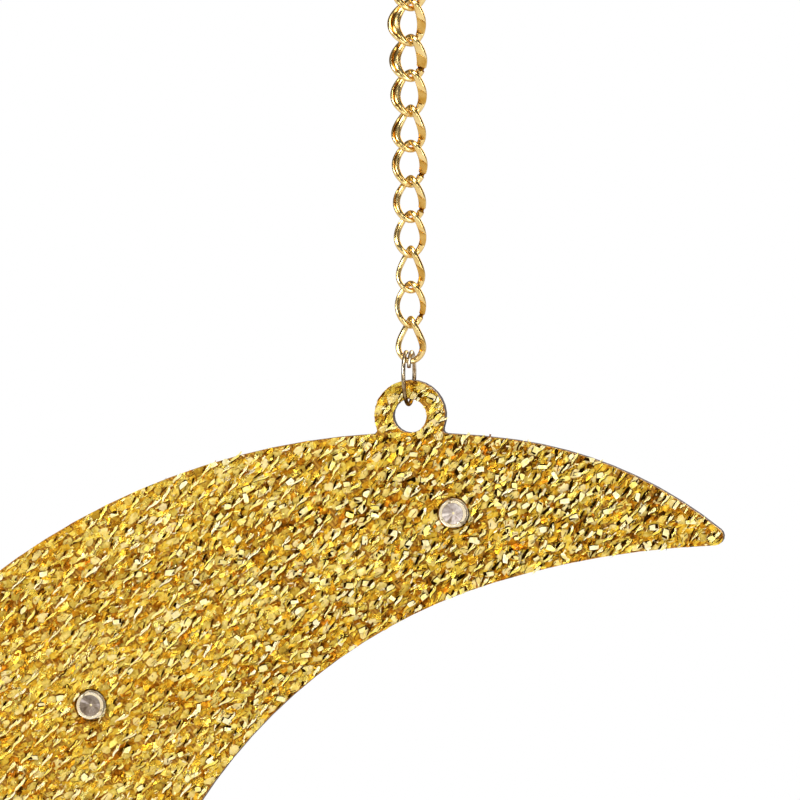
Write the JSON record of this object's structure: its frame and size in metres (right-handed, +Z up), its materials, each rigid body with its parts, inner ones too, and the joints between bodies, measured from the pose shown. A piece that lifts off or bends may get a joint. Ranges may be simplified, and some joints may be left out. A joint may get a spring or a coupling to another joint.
{
  "type": "crescent hanging light",
  "caption": "Crescent moon cut from thin board and faced with gold glitter cloth, set with small clear lamps, hanging by an ear from a ring and a twisted gold chain, battery case behind",
  "frame": {"origin": "the top inside of the hanging ring, where a hook carries the whole light", "axes": "+Z up along the chain, -Y towards the front with the cloth and the lamps, +X to the right as seen from the front, towards the open side of the crescent"},
  "size_m": [0.2466, 0.025, 0.3645],
  "materials": {
    "chain_gold": "polished",
    "ring_silver": "polished",
    "board_wood": "matte",
    "cloth_gold": "satin",
    "lamp_clear": "gloss",
    "steel": "satin",
    "wire_red": "gloss",
    "wire_black": "gloss",
    "glue": "satin",
    "foam": "matte",
    "case_black": "matte",
    "cell_can": "satin",
    "knob_black": "satin"
  },
  "bodies": {
    "ring": {"hanging_ring": "chain_gold"},
    "link_01": {"chain_link_01": "chain_gold"},
    "link_02": {"chain_link_02": "chain_gold"},
    "link_03": {"chain_link_03": "chain_gold"},
    "link_04": {"chain_link_04": "chain_gold"},
    "link_05": {"chain_link_05": "chain_gold"},
    "link_06": {"chain_link_06": "chain_gold"},
    "link_07": {"chain_link_07": "chain_gold"},
    "link_08": {"chain_link_08": "chain_gold"},
    "link_09": {"chain_link_09": "chain_gold"},
    "link_10": {"chain_link_10": "chain_gold"},
    "link_11": {"chain_link_11": "chain_gold"},
    "link_12": {"chain_link_12": "chain_gold"},
    "jump_ring": {"jump_ring": "ring_silver"},
    "moon": {"crescent_board": "board_wood", "glitter_cloth": "cloth_gold", "led_1": "lamp_clear", "led_1_anode": "steel", "led_1_cathode": "steel", "led_2": "lamp_clear", "led_2_anode": "steel", "led_2_cathode": "steel", "led_3": "lamp_clear", "led_3_anode": "steel", "led_3_cathode": "steel", "led_4": "lamp_clear", "led_4_anode": "steel", "led_4_cathode": "steel", "led_5": "lamp_clear", "led_5_anode": "steel", "led_5_cathode": "steel", "led_6": "lamp_clear", "led_6_anode": "steel", "led_6_cathode": "steel", "wire_positive": "wire_red", "wire_negative": "wire_black", "wire_positive_short": "wire_red", "wire_negative_short": "wire_black", "glue_dot_1": "glue", "glue_dot_2": "glue", "glue_dot_3": "glue", "glue_dot_4": "glue", "foam_pad": "foam", "battery_case": "case_black", "battery_a": "cell_can", "battery_b": "cell_can", "spring_a": "steel", "spring_b": "steel", "contact_bridge": "steel", "contact_positive": "steel", "contact_negative": "steel", "switch_frame": "steel"},
    "battery_lid": {"battery_lid": "case_black"},
    "switch_slider": {"switch_slider": "knob_black"}
  },
  "joints": [
    {"name": "swing_01", "type": "hinge", "parent": "ring", "child": "link_01", "pos_m": [0, 0, -0.0135], "axis": [0.6626, 0.749, 0], "range_deg": [-20, 20]},
    {"name": "swing_02", "type": "hinge", "parent": "link_01", "child": "link_02", "pos_m": [0, 0, -0.01837], "axis": [0.6157, -0.788, 0], "range_deg": [-20, 20]},
    {"name": "swing_03", "type": "hinge", "parent": "link_02", "child": "link_03", "pos_m": [0, 0, -0.02612], "axis": [0.788, 0.6157, 0], "range_deg": [-20, 20]},
    {"name": "swing_04", "type": "hinge", "parent": "link_03", "child": "link_04", "pos_m": [0, 0, -0.03118], "axis": [0.5736, -0.8191, 0], "range_deg": [-20, 20]},
    {"name": "swing_05", "type": "hinge", "parent": "link_04", "child": "link_05", "pos_m": [0, 0, -0.03893], "axis": [0.8191, 0.5736, 0], "range_deg": [-20, 20]},
    {"name": "swing_06", "type": "hinge", "parent": "link_05", "child": "link_06", "pos_m": [0, 0, -0.04398], "axis": [0.5299, -0.848, 0], "range_deg": [-20, 20]},
    {"name": "swing_07", "type": "hinge", "parent": "link_06", "child": "link_07", "pos_m": [0, 0, -0.05173], "axis": [0.848, 0.5299, 0], "range_deg": [-20, 20]},
    {"name": "swing_08", "type": "hinge", "parent": "link_07", "child": "link_08", "pos_m": [0, 0, -0.05677], "axis": [0.4848, -0.8746, 0], "range_deg": [-20, 20]},
    {"name": "swing_09", "type": "hinge", "parent": "link_08", "child": "link_09", "pos_m": [0, 0, -0.06452], "axis": [0.8746, 0.4848, 0], "range_deg": [-20, 20]},
    {"name": "swing_10", "type": "hinge", "parent": "link_09", "child": "link_10", "pos_m": [0, 0, -0.06957], "axis": [0.4384, -0.8988, 0], "range_deg": [-20, 20]},
    {"name": "swing_11", "type": "hinge", "parent": "link_10", "child": "link_11", "pos_m": [0, 0, -0.07733], "axis": [0.8988, 0.4384, 0], "range_deg": [-20, 20]},
    {"name": "swing_12", "type": "hinge", "parent": "link_11", "child": "link_12", "pos_m": [0, 0, -0.08238], "axis": [0.3907, -0.9205, 0], "range_deg": [-20, 20]},
    {"name": "jump_ring_swing", "type": "hinge", "parent": "link_12", "child": "jump_ring", "pos_m": [0, 0, -0.09012], "axis": [0.9205, 0.3907, 0], "range_deg": [-15, 15]},
    {"name": "moon_swing", "type": "hinge", "parent": "jump_ring", "child": "moon", "pos_m": [0, 0, -0.09798], "axis": [0.0523, 0.9986, 0], "range_deg": [-25, 25]},
    {"name": "lid_slide", "type": "slide", "parent": "moon", "child": "battery_lid", "axis": [0.898, 0, 0.4399], "range_m": [0, 0.05]},
    {"name": "switch_slide", "type": "slide", "parent": "moon", "child": "switch_slider", "axis": [-0.4399, 0, 0.898], "range_m": [0, 0.002]}
  ]
}
